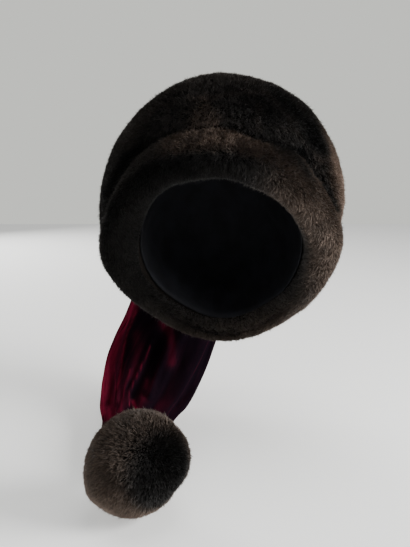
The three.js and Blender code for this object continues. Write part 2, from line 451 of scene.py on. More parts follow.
pelt_finish, shader, nodes, links = new_material("pelt_cloth", 0.9)
tones = patches_of(nodes, 400, 0, 1)
dark = ramp(nodes, links, tones, [(0, (0.003, 0.0024, 0.002)), (1, (0.009, 0.007, 0.006))])
links.new(dark, shader.inputs["Base Color"])
settle(shader, {"Specular IOR Level": 0.05})
weave(nodes, links, shader, 180, 0.0003)
print("Fur materials:", hair_finish.name, pelt_finish.name)

# %% [markdown]
# ## The padded band
# The band is a tube of fur cloth filled with wadding. It has two soft rolls with a crease
# between them, and it grows and shrinks round the rim. One table holds the section from the
# rim's inside edge, round the outside and back down the inner wall, and a second one how it
# changes every 45 degrees. The crease dips and deepens at the sides, so it has tables of its
# own. The backing is drawn a pile's depth inside those sizes, so that the tips of the hairs
# reach them.

# %% Tables of the band
# the thickness and width that SECTION is drawn for, the seam's height above the rim, the depth
# of the crease and the height of the pile
BAND_THICK, BAND_WIDE, SEAM_UP, VALLEY, PILE = 40.0, 107.0, 98.0, 5.0, 8.5
# out from the inner wall, up from the rim, share of the lower roll, share of the pile's depth
SECTION = np.array([
    (0, 7, 1, 0.3), (4, -3, 1, 0.6), (14, -9, 1, 1), (27, -5, 1, 1), (37, 7, 1, 1),
    (40, 21, 1, 1), (39, 35, 1, 1), (37, 48, 0.5, 1), (38, 61, 0, 1), (40, 75, 0, 1),
    (38, 90, 0, 1), (31, 101, 0, 0.95), (20, 106, 0, 0.7), (12, 102, 0, 0.2), (10, 98, 0, 0),
], float)
# thickness of the lower and the upper roll, width and drop of the rim, every 45 degrees
ROUND = np.array([
    (29, 38, 112, -3), (31, 40, 110, 4), (38, 43, 106, 0), (36, 41, 110, 6),
    (38, 38, 107, 13), (36, 39, 107, 6), (38, 43, 106, 4), (35, 40, 99, -7),
], float)

# where the crease is given, in degrees round the rim, how high above the rim it lies there, and
# how deep it is as a share of VALLEY
CREASE_AT = (
    0, 8, 20, 30, 40, 46, 52, 60, 66, 80, 105, 150,
    230, 250, 262, 274, 284, 300, 314, 322, 335, 350, 360,
)
CREASE_UP = (
    35, 31, 30, 36, 45, 38, 34, 28, 22, 28, 42, 48,
    36, 20, 12, 8, 8, 12, 24, 32, 36, 37, 35,
)
CREASE_DEEP = (
    0.7, 0.8, 1.0, 1.3, 1.5, 1.8, 2.0, 1.9, 1.2, 0.1, 0.1, 0.4,
    0.4, 0.4, 0.4, 0.5, 0.4, 0.2, 0.4, 0.6, 0.8, 0.8, 0.7,
)
# the lowest height, the crease's and the highest height as SECTION draws them
UNDERSIDE, CREASE_DRAWN, TOP_UP = -9.0, 48.0, 106.0
print("The crease rises and falls by", max(CREASE_UP) - min(CREASE_UP), "mm")


# %% The band's surface from its tables
def through(rows, places):
    """Catmull-Rom values between a table's rows, at fractional row numbers."""
    i = np.clip(np.floor(places).astype(int), 0, len(rows) - 2)
    t = (places - i)[:, None]
    before, after = rows[np.maximum(i - 1, 0)], rows[np.minimum(i + 2, len(rows) - 1)]
    a, b = rows[i], rows[i + 1]
    bend = 2 * before - 5 * a + 4 * b - after + t * (3 * (a - b) + after - before)
    return a + 0.5 * t * (b - before + t * bend)


def round_the_rim(turn):
    """The second table's columns at any turn, eased between its rows."""
    place = turn / (2 * np.pi) * len(ROUND)
    i = np.floor(place).astype(int)
    part = eased(place - i)[:, None]
    return (ROUND[i % len(ROUND)] * (1 - part) + ROUND[(i + 1) % len(ROUND)] * part).T


def along_the_crease(turn, values):
    """One of the crease's tables at any turn, eased over ten degrees."""
    near = (np.degrees(turn)[:, None] + np.linspace(-5, 5, 9)) % 360
    return np.interp(near, CREASE_AT, values).mean(1)


def band_surface(turn, section):
    """Points of the band's outside: a row for each row of the section, a column for each turn."""
    lower, upper, wide, drop = round_the_rim(turn)
    crease = along_the_crease(turn, CREASE_DEEP)
    out, up, roll = (section[:, k, None] for k in range(3))
    thick = upper + (lower - upper) * roll
    valley = (1 - abs(2 * roll - 1)) * VALLEY * crease
    outward = out * thick / BAND_THICK - valley
    crease_up = along_the_crease(turn, CREASE_UP)
    below = (up - UNDERSIDE) / (CREASE_DRAWN - UNDERSIDE)
    above = (up - CREASE_DRAWN) / (TOP_UP - CREASE_DRAWN)
    low_part = UNDERSIDE + below * (crease_up - UNDERSIDE)
    high_part = crease_up + above * (TOP_UP - crease_up)
    up = np.where(up < CREASE_DRAWN, low_part, np.where(up < TOP_UP, high_part, up))
    height = up * wide / BAND_WIDE - drop * np.maximum(0, 1 - up / SEAM_UP)
    side, front = np.sin(turn), np.cos(turn)
    # straight out from the oval of the rim
    out_side, out_front = side / INSIDE_WIDE, front / INSIDE_LONG
    length = np.hypot(out_side, out_front)
    across = INSIDE_WIDE * side + outward * out_side / length
    ahead = INSIDE_LONG * front + outward * out_front / length
    return in_rim_plane(across, ahead, height) + RIM_MIDDLE


print("Band surface ready")

# %% Painted light and shade on the pile, with some nap marks
# painted light and shade of the pile, with some nap marks, in hundredths: lit on the right,
# shaded on the left, in the crease and at the rim; a row for each section row named, and a column
# for each of these turns in degrees
TONE_TURNS = (0, 15, 30, 45, 60, 90, 120, 150, 180, 210, 240, 270, 300, 330, 345, 360)
TONE_ROWS = (0.0, 1.0, 2.0, 4.1, 4.8, 6.8, 7.3, 9.0, 11.0, 14.0)
LIGHT_AND_NAP_TONES = np.array([
    (5, 6, 12, 20, 20, 20, 20, 40, 40, 20, 10, 8, 6, 5, 5, 5),
    (10, 14, 38, 50, 50, 50, 35, 60, 60, 40, 20, 14, 12, 8, 8, 10),
    (15, 20, 72, 100, 100, 100, 65, 90, 80, 60, 30, 20, 18, 12, 10, 15),
    (22, 25, 90, 105, 110, 125, 85, 100, 90, 70, 36, 25, 25, 12, 10, 22),
    (140, 105, 90, 90, 105, 140, 110, 100, 90, 80, 60, 35, 30, 38, 112, 140),
    (160, 120, 80, 65, 105, 160, 110, 100, 90, 80, 60, 35, 30, 45, 140, 160),
    (35, 32, 28, 25, 130, 220, 120, 100, 90, 80, 60, 35, 30, 33, 35, 35),
    (33, 28, 26, 30, 200, 330, 140, 100, 90, 80, 70, 42, 36, 35, 35, 33),
    (55, 50, 45, 45, 110, 190, 110, 100, 90, 80, 70, 55, 45, 50, 50, 55),
    (80, 80, 80, 80, 80, 90, 90, 90, 90, 80, 80, 80, 80, 80, 80, 80),
]) / 100


def painted_light_and_nap(turn, row):
    """The table's painted light and shade for each row and turn of the band's grid."""
    by_turn = np.array([np.interp(np.degrees(turn), TONE_TURNS, line) for line in LIGHT_AND_NAP_TONES])
    return np.array([np.interp(row, TONE_ROWS, column) for column in by_turn.T]).T


# no painted shade makes the pile darker than this share of its tone
LEAST_GAIN = 0.15
# painted highlights on lit rolls and painted shade in the crease and grooves, as they show in
# the picture: points, half width in pixels, how much lighter
SEEN_PAINTED_LIGHT = [
    ([(222, 123), (230, 127), (250, 134), (260, 137), (290, 146), (299, 149)], 2.6, -0.75),
    ([(299, 149), (307, 166), (317, 181), (328, 199), (330, 209)], 4.5, -0.8),
    ([(306, 130), (315, 150), (321, 168), (325, 186)], 6.0, -0.6),
    ([(275, 150), (292, 157), (304, 172)], 6.5, -0.55),
    ([(191, 124), (170, 133), (150, 140), (132, 156)], 2.2, -0.6),
    ([(132, 156), (121, 178), (116, 208), (104, 232)], 4.0, -0.45),
    ([(152, 147), (139, 154), (128, 165), (116, 185), (108, 202)], 5.0, -0.5),
    ([(176, 106), (160, 112), (144, 126), (131, 147)], 5.0, 0.35),
    ([(194, 103), (218, 100), (242, 96), (262, 97), (278, 112), (302, 140), (317, 158)], 2.6, 0.7),
    ([(266, 90), (283, 106), (303, 127), (322, 152)], 4.0, -0.4),
    ([(197, 118), (206, 110), (215, 117)], 8.0, 2.1),
    ([(256, 110), (257, 127)], 3.0, 1.0),
    ([(278, 124), (284, 128)], 4.0, 0.7),
    ([(178, 152), (210, 144), (230, 148)], 2.5, 0.4),
    ([(190, 173), (209, 173)], 3.0, 1.2),
    ([(139, 212), (148, 203), (160, 193), (172, 186)], 3.0, 0.9),
]


def seen_painted_light(points, normals):
    """How much painted light or shade the pile gets where those lines and patches are seen."""
    spots, facing = seen_at(points), towards_eye(points, normals)
    change = 0
    for line, width, amount in SEEN_PAINTED_LIGHT:
        change = change + amount * np.exp(-((beside(spots, line) / width) ** 2))
    return np.maximum(LEAST_GAIN, 1 + facing * change)


# these lines and patches are painted light and shade
print("Lines and patches of brushing:", len(SEEN_PAINTED_LIGHT))

# %% Grid of the band, with its normals, its nap and the depth of its pile
# columns round the band, and rows of the grid for each row of SECTION
COLUMNS, PER_ROW = 160, 4
turns = all_round(COLUMNS)
section_rows = np.arange((len(SECTION) - 1) * PER_ROW + 1) / PER_ROW
skin_light_and_nap = painted_light_and_nap(turns, section_rows)
fine = through(SECTION, section_rows)
skin = band_surface(turns, fine)
around = np.roll(skin, -1, 1) - np.roll(skin, 1, 1)
upward = np.gradient(skin, axis=0)
skin_normals = unit(np.cross(upward, around))
outwards = ((skin - skin.mean((0, 1))) * skin_normals).sum(-1).mean()
skin_normals *= np.sign(outwards)
skin_nap = -unit(upward)
skin_pile = PILE * np.clip(fine[:, 3], 0, 1)[:, None] * np.ones(COLUMNS)
pelt_points = skin - skin_normals * skin_pile[..., None]
print("Rows and columns of the band:", skin.shape[:2])

# %% Loft the band's backing and close it with the inner wall
# rows of the inner wall, with the columns of SECTION
INNER_WALL = np.array([(0, 98, 0, 0), (0, 75, 0, 0), (0, 52, 0, 0), (0, 28, 1, 0)], float)
inner_wall = band_surface(turns, INNER_WALL)
pelt = loft("fur_band_backing", np.concatenate([pelt_points, inner_wall]), close_section=True)
smooth(pelt)
pelt.data.materials.append(pelt_finish)
print("Backing triangles:", triangles(pelt))

# %% [markdown]
# ## Growing the pile
# Hundreds of thousands of hairs are too many to place by hand, and a particle system would
# have to be turned into meshes anyway. Each hair is a slim leaf of two faces, widest above its
# middle, so that the tips close up as in a sheared pile. Its root is scattered on the backing
# by area and its tip lies a pile's height above it. The nap, a slow swirl and a little chance
# move the tip sideways. Neighbours share the swirl, so that they gather in soft tufts with
# darker partings. All hairs of a quarter are one mesh.


# %% Scatter the roots
def scatter(points, faces, count, rng):
    """Random places on triangles, as many on each as its area earns: corners and weights."""
    a, b, c = (points[faces[:, k]] for k in range(3))
    area = np.linalg.norm(np.cross(b - a, c - a), axis=1)
    chosen = faces[rng.choice(len(faces), count, p=area / area.sum())]
    u, v = rng.random((2, count))
    over = u + v > 1
    u[over], v[over] = 1 - u[over], 1 - v[over]
    return chosen, np.stack([1 - u - v, u, v], 1)


def weighted(values, corners, weights):
    """Numbers or vectors of the corners, mixed by the weights."""
    return np.einsum("nk...,nk->n...", values[corners], weights)


print("Root helpers ready")

# %% Shape the blades
# distances over which the lean changes: broadly, in tufts and in small tufts
BROAD, TUFT, SMALL_TUFT = 26.0, 7.0, 2.8
# the knee's share of a blade's height, and of its lean
KNEE_AT, KNEE_LEAN = 0.7, 0.55
# strays: past this share of the hairs, each stands proud by this share of its height
STRAYS = ((0.92, 0.10), (0.985, 0.16))


def blades(roots, normals, nap, pile, rng, lean=0.45, width=0.55, swirl=0.20, ragged=0.08):
    """The root, both sides of the knee and the tip of each blade. They lean by shares of the
    pile, along the nap by lean and in tufts by swirl, and ragged makes tufts uneven."""
    count = len(roots)
    clump = 0.5 * drifting(roots, TUFT, 11) + 0.9 * drifting(roots, SMALL_TUFT, 12)
    broad = drifting(roots, BROAD, 13)
    aside = nap * (lean + 0.25 * broad[:, :1]) + swirl * clump + rng.normal(0, 0.12, (count, 3))
    aside -= normals * (aside * normals).sum(1, keepdims=True)
    tall = 0.93 + 0.06 * broad[:, 1] + ragged * clump[:, 2] + rng.uniform(-0.09, 0.05, count)
    # one hair in twelve stands a little proud of the sheared pile, and a few of them more
    stray = rng.random(count)
    proud = 1 + sum(more * (stray > past) for past, more in STRAYS)
    tall = (pile * tall * proud)[:, None]
    tip = roots + normals * tall + aside * tall
    knee = roots + normals * tall * KNEE_AT + aside * tall * KNEE_LEAN
    side = unit(np.cross(tip - roots, rng.normal(size=(count, 3))))
    half = side * width * rng.uniform(0.35, 0.6, (count, 1))
    return np.stack([roots, knee - half, knee + half, tip], 1)


print("Blade helper ready")

# %% Build the mesh of a patch of hair
# a blade's four corners in its own small square of the texture map
LEAF = np.array([(0.5, 0.1), (0.12, 0.62), (0.88, 0.62), (0.5, 0.9)])


def hairs(name, roots, normals, nap, pile, gain, rng, **habit):
    """One mesh of blades from places in millimetres, each with its tone round gain."""
    count = len(roots)
    corners = blades(roots, normals, nap, pile, rng, **habit).reshape(-1, 3)
    first = np.arange(count)[:, None, None] * 4
    faces = (first + np.array([[0, 1, 2], [2, 1, 3]])).reshape(-1, 3)
    mesh = bpy.data.meshes.new(name)
    mesh.vertices.add(len(corners))
    mesh.vertices.foreach_set("co", (corners * MM).ravel())
    mesh.loops.add(faces.size)
    mesh.loops.foreach_set("vertex_index", faces.ravel().astype(np.int32))
    mesh.polygons.add(len(faces))
    mesh.polygons.foreach_set("loop_start", np.arange(len(faces), dtype=np.int32) * 3)
    mesh.update(calc_edges=True)
    along = mesh.attributes.new("along", "FLOAT", "POINT")
    along.data.foreach_set("value", np.tile([0, KNEE_AT, KNEE_AT, 1.0], count).astype(np.float32))
    tone = mesh.attributes.new("tone", "FLOAT", "POINT")
    own = gain * rng.uniform(0.8, 1.2, count)
    tone.data.foreach_set("value", np.repeat(own, 4).astype(np.float32))
    grid = math.ceil(math.sqrt(count))
    cell = np.stack([np.arange(count) % grid, np.arange(count) // grid], 1)[:, None]
    uv = ((cell + LEAF) / grid).reshape(-1, 2)[faces.ravel()]
    mesh.uv_layers.new(name="OFBake").data.foreach_set("uv", uv.ravel())
    obj = bpy.data.objects.new(name, mesh)
    bpy.context.scene.collection.objects.link(obj)
    mesh.materials.append(hair_finish)
    return obj


print("Hair helper ready")

# %% Grow the band's pile in four quarters
HAIRS_IN_FRONT, HAIRS_BEHIND = 98000, 80000
# no hair is rooted where the pile is lower than this
LEAST_PILE = 1.0
rows, columns = skin.shape[:2]
band_hair = []
for quarter, label in enumerate(("front_left", "back_left", "back_right", "front_right")):
    rng = np.random.default_rng(100 + quarter)
    cells = np.mgrid[0 : rows - 1, quarter * columns // 4 : (quarter + 1) * columns // 4]
    r, c = cells.reshape(2, -1)
    # corners of each square of the grid, cut into two triangles
    first, second = r * columns + c, r * columns + (c + 1) % columns
    third, fourth = first + columns, second + columns
    halves = [np.stack([first, second, third], 1), np.stack([second, fourth, third], 1)]
    faces = np.concatenate(halves)
    furred = skin_pile.ravel()[faces].min(1) > LEAST_PILE
    number = HAIRS_IN_FRONT if label.startswith("front") else HAIRS_BEHIND
    corners, weights = scatter(skin.reshape(-1, 3), faces[furred], number, rng)
    roots = weighted(pelt_points.reshape(-1, 3), corners, weights)
    normals = unit(weighted(skin_normals.reshape(-1, 3), corners, weights))
    nap = unit(weighted(skin_nap.reshape(-1, 3), corners, weights))
    pile = weighted(skin_pile.ravel(), corners, weights)
    # each hair's tone holds the painted light and shade of both tables, with some nap marks
    gain = weighted(skin_light_and_nap.ravel(), corners, weights) * seen_painted_light(roots, normals)
    band_hair.append(hairs("fur_band_pile_" + label, roots, normals, nap, pile, gain, rng))
print("Band hairs:", sum(len(o.data.vertices) // 4 for o in band_hair))

# %% [markdown]
# ## The lining
# Inside is a plain cap of near-black cloth, cut a little roomy, so that it sags in small puckers,
# and turned under at the rim. It follows the inside dome, and a thin wall is added inwards. A
# crown of cloth could also be cut in gores, but no seam of it can be seen, so none is drawn.

# %% Lining cloth
LINING_COLUMNS, LINING_ROWS, HEM_ROWS, HEM_UP = 96, 26, 5, 7
# the cloth's distance inside the dome, how far up it goes before it is closed, and how high
# above the rim the point is that it sags towards
LINING_INSET, CROWN_CLIMB, SAG_TOWARDS = 0.7, math.radians(88.5), 45
turns = all_round(LINING_COLUMNS)
drop = round_the_rim(turns)[3]
rings = []
for low in np.linspace(1, 0, HEM_ROWS + 1)[:-1]:
    ring = dome_step(turns, np.zeros_like(turns), LINING_INSET) + RIM_MIDDLE
    rings.append(ring - ((DOME_STRAIGHT - HEM_UP + drop) * low)[:, None] * CROWNWARD)
for climb in np.linspace(0, CROWN_CLIMB, LINING_ROWS):
    rings.append(dome_step(turns, np.full_like(turns, climb), LINING_INSET) + RIM_MIDDLE)
rings = np.array(rings)
inward = unit(RIM_MIDDLE + SAG_TOWARDS * CROWNWARD - rings)
# puckers run up and down, since their noise changes faster round the cap than along it
puckers = np.stack([np.cos(turns) * 90, np.sin(turns) * 90, 0 * turns], -1) + 0.25 * rings
row = np.arange(len(rings))
ease = np.clip(np.minimum(row - 1, len(rings) - 3 - row) / 4, 0, 1)
sag = 0.9 + 0.9 * drifting(puckers, 9.0, 41)[..., 0] + 0.8 * drifting(rings, 24.0, 42)[..., 1]
rings += inward * (np.clip(sag, 0, 3) * ease[:, None])[..., None]
print("The lining sags by up to", sag.max().round(1), "mm")


def cloth_measured(rings):
    """Of a lofted cloth, in metres: its area, widest girth, length on it and middle length."""
    along, sideways = np.diff(rings, axis=0), np.roll(rings, -1, 1) - rings
    area = np.linalg.norm(np.cross(along, sideways[:-1]), axis=-1).sum() * MM * MM
    girth = np.linalg.norm(sideways, axis=-1).sum(1).max() * MM
    length = np.linalg.norm(along, axis=-1).sum(0).mean() * MM
    middle = np.linalg.norm(np.diff(rings.mean(1), axis=0), axis=1).sum() * MM
    return [round(float(v), 4) for v in (area, girth, length, middle)]


# %% Loft the lining, close its crown and give it a wall
lining = loft("lining_cloth", rings)
# the last ring lies within this of the crown's middle, and the cloth is this thick
CROWN_HOLE, LINING_THICK = 6, 1.2
take(lining)
edit("DESELECT")
bpy.ops.object.mode_set(mode="OBJECT")
top = dome_step(np.array(0.0), math.pi / 2, LINING_INSET) + RIM_MIDDLE
near_top = np.linalg.norm(coordinates(lining) / MM - top, axis=1) < CROWN_HOLE
for vertex in np.flatnonzero(near_top):
    lining.data.vertices[vertex].select = True
bpy.ops.object.mode_set(mode="EDIT")
bpy.ops.mesh.edge_face_add()
bpy.ops.mesh.poke()
bpy.ops.object.mode_set(mode="OBJECT")
face_outwards(lining)
finish_with(lining, "SOLIDIFY", thickness=LINING_THICK * MM, offset=-1)
smooth(lining)
print("Lining triangles:", triangles(lining))

# %% Material of the lining: a close, slightly shiny weave
lining_finish, shader, nodes, links = new_material("lining_satin", 0.75)
tones = patches_of(nodes, 60, 0, 1)
dark = ramp(nodes, links, tones, [(0, (0.0022, 0.0023, 0.0032)), (1, (0.0050, 0.0053, 0.0075))])
links.new(dark, shader.inputs["Base Color"])
settle(shader, {"Specular IOR Level": 0.12})
weave(nodes, links, shader, 300, 0.0002)
lining.data.materials.append(lining_finish)
print("Lining material:", lining_finish.name)

# %% [markdown]
# ## The velvet bag
# The bag is one long soft tube, wide and oval at the seam and narrow at the pompom. It goes over
# the back of the band and hangs, so its sections are listed along its way, and a curve goes
# through them. A cloth simulation would have to start from the cut cloth, and would hardly end
# in just the folds that the photograph shows. So nine lengthways folds run down it, and finer
# creases are added where the photograph shows them.

# %% Sections of the bag and the curve through them
BAG = np.array([  # x, y, z of the middle, half width, step to the near side in y and z, folds
    (0, 61.5, -33, 84, -69.5, 77, 0.2), (0, 79.5, -33, 84, -59.5, 79, 0.5),
    (-1, 98.5, -39.5, 82, -44.5, 81.5, 0.8), (-4, 117.5, -52.5, 80, -27.5, 80.5, 1),
    (-8, 135, -71, 77, -11, 75, 1), (-14, 148, -95, 73, 2, 63, 1),
    (-20, 156, -123, 67, 11, 47, 1), (-28, 158, -151, 61, 16, 31, 1),
    (-38.5, 156, -178, 57.5, 17, 16, 1), (-50, 146, -205, 57, 17, 3, 1),
    (-63, 127, -231, 57, 16, -9, 1), (-72, 102, -254, 55, 11, -14, 1),
    (-78, 71, -270, 50, 5, -16, 1), (-82, 36, -278, 43, 2, -15, 1),
    (-84, 0, -280, 35, 0, -14, 0.9), (-85, -40, -281, 29, 0, -13, 0.8),
    (-86, -78, -281, 24, 0, -12, 0.7), (-82, -108, -278, 17, -1, -11, 0.5),
    (-79, -124, -274, 12, -3, -9, 0.2), (-77, -133.5, -270, 8, -3, -7, 0),
])
# two rows at the seam, a little above it and out from the inside
middle, wide, towards = [], [], []
SEAM_ROWS, SEAM_OUT = (0.5, 6.5), 7
for rise in SEAM_ROWS:
    middle.append(RIM_MIDDLE + CROWNWARD * (SEAM_UP + rise))
    wide.append(ACROSS * (INSIDE_WIDE + SEAM_OUT))
    towards.append(FORWARD * (INSIDE_LONG + SEAM_OUT))
middle = np.vstack([middle, BAG[:, :3]])
wide = np.vstack([wide, BAG[:, 3:4] * [1, 0, 0]])
towards = np.vstack([towards, np.column_stack([0 * BAG[:, 0], BAG[:, 4:6]])])
folds = np.concatenate([[0, 0], BAG[:, 6]])[:, None]
# how finely the bag is drawn, its lengthways folds and their depth, and the cloth's thickness
BAG_ROWS, BAG_COLUMNS, FOLDS, FOLD_DEEP, VELVET_THICK = 150, 200, 9, 3.2, 1.6
# the crushing of the cloth is drawn out lengthways: this stands for the bag's length in it
BAG_DRAWN_LONG = 155
way = np.linspace(0, 1, BAG_ROWS)
places = way * (len(middle) - 1)
turns = all_round(BAG_COLUMNS)
sidewards = through(wide, places)[:, None] * np.sin(turns)[:, None]
spot = sidewards + through(towards, places)[:, None] * np.cos(turns)[:, None]
ripple = through(folds, places) * FOLD_DEEP * np.sin(FOLDS * turns + 1.5 * np.sin(4 * way)[:, None])
rings = through(middle, places)[:, None] + spot + unit(spot) * ripple[..., None]
print("Bag rows and columns:", rings.shape[:2])

# %% Creases of the cloth: long fine ones all round, and those that the photograph shows
# each crease: its points across and down in the picture, and its height in millimetres
SEEN_CREASES = [
    ([(137, 300), (127, 333), (118, 365), (116, 400)], 2.6),
    ([(152, 338), (142, 365), (129, 393), (127, 410)], 2.6),
    ([(131, 370), (125, 387), (121, 415)], 2.0),
    ([(110, 345), (106, 370), (105, 400)], 1.4),
    ([(172, 320), (168, 345), (158, 372), (150, 395)], 2.0),
]
# painted sheen, where its pile glows in the picture: points, half width in pixels and strength from
# 0 to 1
SEEN_PAINTED_SHEEN = [
    ([(134, 300), (117, 336), (106, 372), (101, 415)], 8.0, 0.95),
    ([(112, 360), (108, 385), (110, 415)], 9.0, 0.75),
    ([(136, 312), (127, 335), (122, 360), (118, 390)], 1.3, 0.85),
    ([(150, 346), (143, 364), (133, 384), (129, 395), (129, 406)], 1.1, 0.9),
    ([(130, 370), (126, 384), (122, 400), (121, 412)], 1.3, 0.85),
    ([(115, 370), (116, 391)], 1.3, 0.8),
    ([(133, 401), (136, 409)], 2.6, 1.0),
    ([(163, 322), (169, 330), (172, 345), (171, 362)], 6.5, 0.60),
    ([(137, 335), (137, 355), (133, 375)], 9.0, 0.42),
    ([(124, 330), (118, 370), (118, 410)], 8.0, 0.5),
    ([(147, 380), (146, 388)], 3.0, 0.5),
]
# a crease's half width, its troughs' distance and half width in pixels, and their depth
CREASE_HALF, TROUGH_AT, TROUGH_HALF, TROUGH_DEEP = 2.2, 5, 2.6, 0.55

bag_out = unit(np.cross(np.roll(rings, -1, 1) - np.roll(rings, 1, 1), np.gradient(rings, axis=0)))
bag_out *= np.sign((bag_out * spot).sum(-1).mean())
facing = towards_eye(rings, bag_out)
spots = seen_at(rings)
lift, painted_sheen = np.zeros(rings.shape[:2]), np.zeros(rings.shape[:2])
for line, width, strength in SEEN_PAINTED_SHEEN:
    painted_sheen = np.maximum(painted_sheen, strength * facing * np.exp(-((beside(spots, line) / width) ** 2)))
for line, height in SEEN_CREASES:
    far = beside(spots, line)
    ridge = np.exp(-((far / CREASE_HALF) ** 2))
    trough = np.exp(-(((far - TROUGH_AT) / TROUGH_HALF) ** 2))
    lift += facing * height * (ridge - TROUGH_DEEP * trough)
girth = np.linalg.norm(spot, axis=-1)
far_down = way[:, None] * BAG_DRAWN_LONG + 0 * girth
grain = np.stack([np.cos(turns) * girth, np.sin(turns) * girth, far_down], -1)
lift += 1.5 * drifting(grain, 15.0, 31)[..., 0] + 0.8 * drifting(grain, 7.0, 32)[..., 1]
# no crease is left at the two ends, where the bag is sewn on
lift *= np.clip(np.minimum(way * 20, (1 - way) * 12), 0, 1)[:, None]
rings += bag_out * lift[..., None]
print("Creases lift the cloth by", lift.min().round(1), "to", lift.max().round(1), "mm")

# %% Loft the bag and give it soft folds and a thin wall
# the painted sheen is drawn below this line of the picture, and elsewhere the nap is painted
# lighter on fold crests and creases, with pressed streaks
PAINTED_SHEEN_FROM = 290
hidden = 1 - np.clip(facing * (spots[..., 1] > PAINTED_SHEEN_FROM) * 3, 0, 1)
streak = drifting(grain * [1, 1, 0.4], 6.0, 33)[..., 0]
# nap: painted sheen, painted light on fold crests and creases, and the pressed streaks
nap = painted_sheen + hidden * np.clip(0.32 + 0.12 * lift + 0.07 * ripple + 0.2 * streak, 0, 0.85)
bag = loft("velvet_bag_cloth", rings, nap=nap, grain=grain * MM)
finish_with(bag, "SOLIDIFY", thickness=VELVET_THICK * MM, offset=-1)
smooth(bag)
print("Bag triangles:", triangles(bag))
cloth_area, *bag_sizes = cloth_measured(rings)
print("Bag's area, girth, length and middle length:", cloth_area, bag_sizes)

# %% [markdown]
# ## Velvet finish
# Velvet is dark where one looks straight into its pile and glows along folds and outlines,
# where the pile is seen from the side. The shader's sheen gives the outlines, and a painted
# sheen adds to them. Crushed velvet also has long streaks where the pile was pressed. An
# attribute named nap holds the painted sheen, painted light on the fold crests and those
# pressed streaks, and the cloth's own directions are kept as grain. A fine noise follows the
# grain, breaks up the colour that the nap picks, and roughens the surface a little through a bump.

# %% Material of the velvet
velvet_finish, shader, nodes, links = new_material("crushed_velvet", 0.75)
stretch = nodes.new("ShaderNodeMapping")
settle(stretch, {"Scale": (1.0, 1.0, 0.5)})
streaks = nodes.new("ShaderNodeTexNoise")
settle(streaks, {"Scale": 170, "Detail": 4, "Roughness": 0.65})
links.new(attribute(nodes, "grain").outputs["Vector"], stretch.inputs["Vector"])
links.new(stretch.outputs["Vector"], streaks.inputs["Vector"])
# from the darkest velvet to its brightest painted sheen
WINE_STOPS = [
    (0.0, (0.0044, 0.0026, 0.0046)),
    (0.3, (0.0115, 0.0037, 0.0072)),
    (0.65, (0.0470, 0.0044, 0.0116)),
    (1.0, (0.1400, 0.0080, 0.0240)),
]
shift = ranged(nodes, links, streaks.outputs["Fac"], (0.3, 0.7), (-0.14, 0.14))
both = nodes.new("ShaderNodeMath")
links.new(attribute(nodes, "nap").outputs["Fac"], both.inputs[0])
links.new(shift, both.inputs[1])
wine = ramp(nodes, links, both.outputs["Value"], WINE_STOPS)
links.new(wine, shader.inputs["Base Color"])
relief(nodes, links, shader, streaks.outputs["Fac"], 0.35, 0.0008)
settle(shader, {"Specular IOR Level": 0.0, "Sheen Weight": 0.6, "Sheen Roughness": 0.3})
settle(shader, {"Sheen Tint": (0.22, 0.010, 0.036, 1)})
bag.data.materials.append(velvet_finish)
print("Velvet material:", velvet_finish.name)

# %% [markdown]
# ## The pompom
# The ball at the end of the bag is the same fur cloth, gathered over stuffing. Its core is an
# ico sphere, and the same hairs grow from it, except where the bag is sewn on.

# %% Pompom core and its pile
# its middle, radius to the tips, pile, unevenness, and how many hairs are tried
POM = np.array([-70.0, -169.0, -254.5])
POM_RADIUS, POM_PILE, POM_UNEVEN, POM_HAIRS = 44.0, 7.0, 0.9, 54000
bpy.ops.object.select_all(action="DESELECT")
bpy.ops.mesh.primitive_ico_sphere_add(subdivisions=5, radius=(POM_RADIUS - POM_PILE) * MM)
core = bpy.context.object
core.name = core.data.name = "pompom_core"
directions = unit(coordinates(core))
sewn = unit(rings[-1].mean(0) - POM)
lump = drifting(directions * 40, 22.0, 21)[:, 0]
# its reach seen from the camera, as shares of the radius, every 30 degrees from the right
# turning up and over to the left: the ball is a little lopsided
POM_REACH = (0.95, 1.01, 1.01, 0.99, 0.95, 0.93, 0.97, 1.08, 1.02, 0.95, 0.89, 0.85)
picture_up = np.array([0, math.sin(PITCH), math.cos(PITCH)])
across, over = directions[:, 0], directions @ picture_up
seen_turn = np.degrees(np.arctan2(over, across)) % 360
share = np.interp(seen_turn, np.arange(13) * 30, POM_REACH + POM_REACH[:1])
reach = POM_RADIUS * (1 + (share - 1) * (across**2 + over**2)) - POM_PILE + POM_UNEVEN * lump
core_points = directions * reach[:, None]
move_vertices(core, (core_points + POM) * MM)
smooth(core)
core.data.materials.append(pelt_finish)
print("Core triangles:", triangles(core))

# %% Grow the pompom's pile, with painted shadow on one side, painted light on the other and painted bounce light below
# the bag is sewn on within this radius, so no hair grows there
SEWN_RADIUS = 6.5
# directions: of the nap, the side with painted shadow, the side with painted light, the side with
# rows of tufts, and across those rows, which lie this many millimetres apart
POM_BRUSH, SHADOWED_SIDE, LIT_SIDE = (-0.7, -0.15, -0.6), (0.62, -0.78, 0.05), (-0.8, -0.4, -0.25)
ROWS_SIDE, ACROSS_ROWS, ROW_APART = (-0.35, -0.8, 0.45), (0.25, -0.2, 1.0), 1.82212
